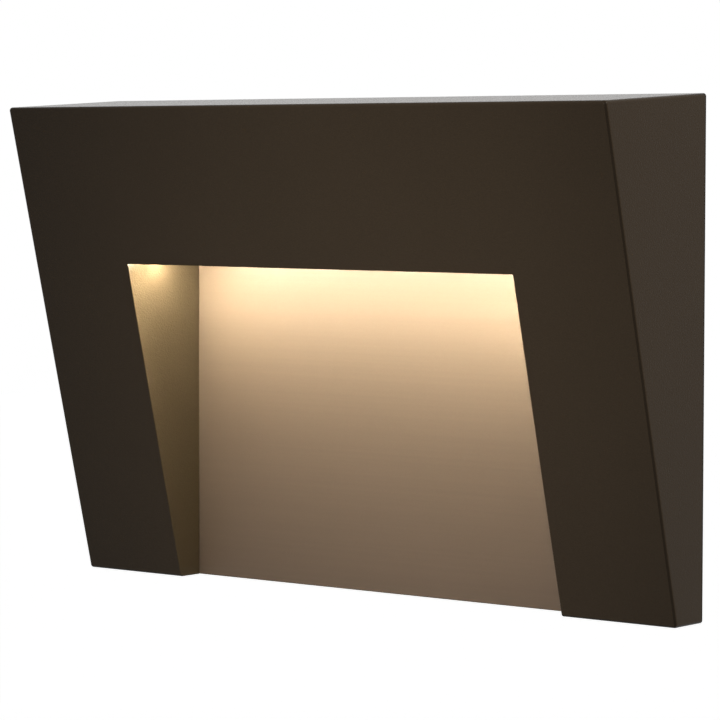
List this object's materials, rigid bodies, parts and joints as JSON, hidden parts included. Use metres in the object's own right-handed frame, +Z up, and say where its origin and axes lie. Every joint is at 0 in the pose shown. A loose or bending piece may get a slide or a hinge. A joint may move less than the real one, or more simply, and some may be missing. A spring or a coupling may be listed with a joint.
{
  "type": "deck light",
  "caption": "Tapered wall-mounted deck light: an open recess washed from above by a hidden LED strip, in a housing that pulls off its mounting plate once set screws are backed out.",
  "frame": {"origin": "on the wall, midway between the two slots for the wall screws, at half the housing's height", "axes": "+X to the right along the wall seen from the front, +Y into the wall, +Z up"},
  "size_m": [0.1142, 0.0253, 0.0762],
  "materials": {
    "bronze_paint": "satin",
    "plate_bronze": "satin",
    "gasket_foam": "matte",
    "set_screw_steel": "satin",
    "seal_silicone": "matte",
    "opal_lens": "satin",
    "white_plastic": "matte",
    "led_board_mask": "satin",
    "led_phosphor": "satin",
    "pad_silicone": "matte",
    "spreader_aluminium": "satin",
    "screw_steel": "satin",
    "cover_aluminium": "satin",
    "grommet_rubber": "matte",
    "driver_laminate": "satin",
    "moulded_epoxy": "matte",
    "inductor_ferrite": "matte",
    "capacitor_can": "satin",
    "lead_red": "satin",
    "lead_black": "satin"
  },
  "bodies": {
    "base": {"mounting_plate": "plate_bronze", "wall_gasket": "gasket_foam"},
    "light": {"housing": "bronze_paint", "lens_gasket": "seal_silicone", "lens": "opal_lens", "reflector_frame": "white_plastic", "led_board": "led_board_mask", "led_chips": "led_phosphor", "thermal_pad": "pad_silicone", "heat_spreader": "spreader_aluminium", "spreader_screws": "screw_steel", "rear_cover": "cover_aluminium", "cover_gasket": "seal_silicone", "cover_screws": "screw_steel", "cable_grommet": "grommet_rubber", "driver_board": "driver_laminate", "driver_screws": "screw_steel", "bridge_rectifier": "moulded_epoxy", "driver_chip": "moulded_epoxy", "inductor": "inductor_ferrite", "smoothing_capacitor": "capacitor_can", "input_terminal": "white_plastic", "led_lead_positive": "lead_red", "led_lead_negative": "lead_black"},
    "left_screw": {"set_screw_left": "set_screw_steel"},
    "right_screw": {"set_screw_right": "set_screw_steel"}
  },
  "joints": [
    {"name": "housing_take_off", "type": "slide", "parent": "base", "child": "light", "axis": [0, -1, 0], "range_m": [0, 0.035]},
    {"name": "left_screw_back_out", "type": "slide", "parent": "light", "child": "left_screw", "axis": [0, 0, -1], "range_m": [0, 0.002]},
    {"name": "right_screw_back_out", "type": "slide", "parent": "light", "child": "right_screw", "axis": [0, 0, -1], "range_m": [0, 0.002]}
  ]
}
